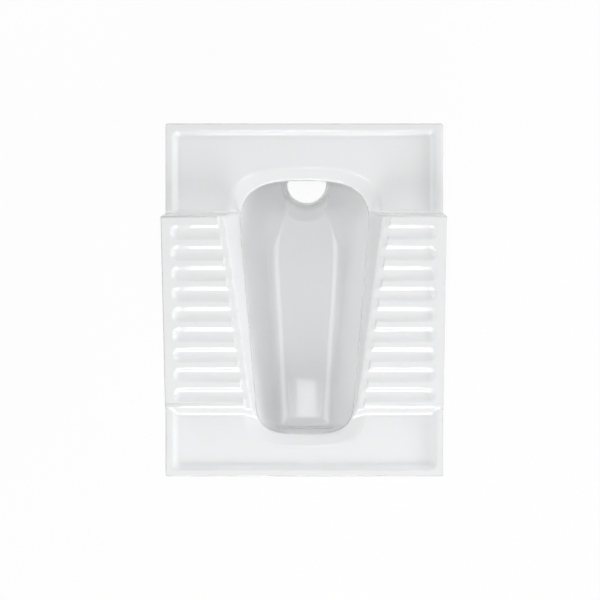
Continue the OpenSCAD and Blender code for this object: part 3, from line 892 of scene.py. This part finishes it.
studio = {
    "floorZ": hornLow.z - 0.5, "floorSize": 12, "floorColor": (0.86, 0.865, 0.87, 1),
    "glow": 0.94,  # share of plain white that the camera and the glaze see in the floor
    "sky": (0.985, 0.993, 1, 1), "skyStrength": 0.15,
    "mirroredSky": 0.6,  # its strength as the camera and the glaze see it
}
softboxes = {  # place, the point it is aimed at, width and height in metres, watts
    "front": ((0, -1.78, 0.95), (0, 0, 0), 0.9, 0.9, 18),
    "frontRight": ((1.15, -1.15, 1.15), (0, 0, 0), 0.6, 0.6, 1),
    "right": ((1.94, -0.1, 0.44), (0, 0, 0), 0.9, 0.4, 16),
    "rearRight": ((1.34, 1.34, 0.62), (0, 0, 0), 0.9, 0.6, 7),
    "rear": ((0, 1.5, 1.3), (0, 0, 0), 0.6, 0.6, 2.5),
    "rearLeft": ((-1.34, 1.34, 0.62), (0, 0, 0), 0.9, 0.6, 7),
    "left": ((-1.66, -0.45, 1.0), (0, 0, 0), 0.9, 0.6, 4.2),
    "top": ((0, 0, 1.95), (0, 0, 0), 0.3, 0.3, 11.8),
}
cards = {  # the same for bright cards that show only as reflections in the glaze
    "frontCard": ((-0.04, -1.76, 0.94), (-0.04, 0, 0), 1.0, 0.38, 23),
    "frontRightCard": ((1.12, -1.12, 1.23), (0, 0, 0), 0.6, 0.6, 3),
    "frontLeftCard": ((-1.12, -1.12, 1.23), (0, 0, 0), 0.4, 0.4, 4),
    "rightCard": ((1.15, 0.55, 1.55), (0, 0, 0), 1.3, 1.0, 11),
    "leftCard": ((-1.15, 0.55, 1.55), (0, 0, 0), 1.3, 1.0, 11),
    "rearCard": ((0, 1.9, 0.62), (0, 0, 0), 0.9, 0.6, 6),
    "topCard": ((-0.026, 0.06, 1.34), (-0.026, 0.06, 0), 0.075, 0.14, 0.17),
}


def addFloor():
    size = studio["floorSize"] / 2
    z = studio["floorZ"] * mm
    mesh = bpy.data.meshes.new("studioFloor")
    corners = [(-size, -size, z), (size, -size, z), (size, size, z), (-size, size, z)]
    mesh.from_pydata(corners, [], [(0, 1, 2, 3)])
    floor = bpy.data.objects.new("studioFloor", mesh)
    bpy.context.scene.collection.objects.link(floor)
    material, tree = newMaterial("studioFloor")
    diffuse = addNode(tree, "BsdfDiffuse", {"Color": studio["floorColor"]})
    glow = addNode(tree, "Emission", {"Color": (1, 1, 1, 1), "Strength": 1.0})
    shader = addNode(tree, "MixShader", {0: mathNode(tree, "MULTIPLY", seenRays(tree), studio["glow"]),
                                         1: diffuse.outputs[0], 2: glow.outputs[0]})
    clear = addNode(tree, "BsdfTransparent")  # seen from below, the floor doesn't hide the pan
    below = addNode(tree, "NewGeometry").outputs["Backfacing"]
    shader = addNode(tree, "MixShader", {0: below, 1: shader.outputs[0], 2: clear.outputs[0]})
    addNode(tree, "OutputMaterial", {"Surface": shader.outputs[0]})
    mesh.materials.append(material)


def seenRays(tree):  # 1 for what the camera sees, straight on or mirrored
    path = addNode(tree, "LightPath").outputs
    seen = mathNode(tree, "MAXIMUM", path["Is Camera Ray"], path["Is Glossy Ray"])
    return mathNode(tree, "MAXIMUM", seen, path["Is Transmission Ray"])


def addWorld():
    world = bpy.data.worlds.new("studioWorld")
    world.use_nodes = True
    tree = world.node_tree
    tree.nodes.clear()
    plain = addNode(tree, "Background", {"Color": studio["sky"], "Strength": studio["skyStrength"]})
    mirrored = addNode(tree, "Background", {"Color": studio["sky"], "Strength": studio["mirroredSky"]})
    shader = addNode(tree, "MixShader", {0: seenRays(tree), 1: plain.outputs[0], 2: mirrored.outputs[0]})
    addNode(tree, "OutputWorld", {"Surface": shader.outputs[0]})
    bpy.context.scene.world = world


def addSoftbox(name, values, isCard):
    place, aim, width, height, power = values
    data = bpy.data.lights.new(name, "AREA")
    data.shape = "RECTANGLE"
    data.size, data.size_y = width, height
    data.energy = power
    softbox = bpy.data.objects.new(name, data)
    softbox.location = place
    softbox.rotation_euler = (Vector(place) - Vector(aim)).to_track_quat("Z", "Y").to_euler()
    softbox.visible_camera = False
    softbox.visible_diffuse = not isCard
    softbox.visible_glossy = isCard
    bpy.context.scene.collection.objects.link(softbox)


addCamera(deck["rimZ"])
deckShell = addDeck()
bowlShell = addBowl()
outletHorn = addHorn()
inletBox = addInletBox()
inletSeal = addInletSeal()
outletSeal = addOutletSeal()
markDeck(deckShell.data)
markBowl(bowlShell.data)

groups = {"glaze": buildGlazeGroup(), "grain": buildGrainGroup()}
for piece, name in ((deckShell, "deckChina"), (bowlShell, "bowlChina"), (outletHorn, "hornChina"),
                    (inletBox, "inletChina")):
    piece.data.materials.append(chinaMaterial(name, groups))
inletSeal.data.materials.append(rubberMaterial("inletRubber", groups))
outletSeal.data.materials.append(rubberMaterial("outletRubber", groups))
print("materials done")

addFloor()
addWorld()
for name, values in softboxes.items():
    addSoftbox(name, values, False)
for name, values in cards.items():
    addSoftbox(name, values, True)
bpy.context.scene.view_settings.view_transform = "Standard"
print("studio ready")
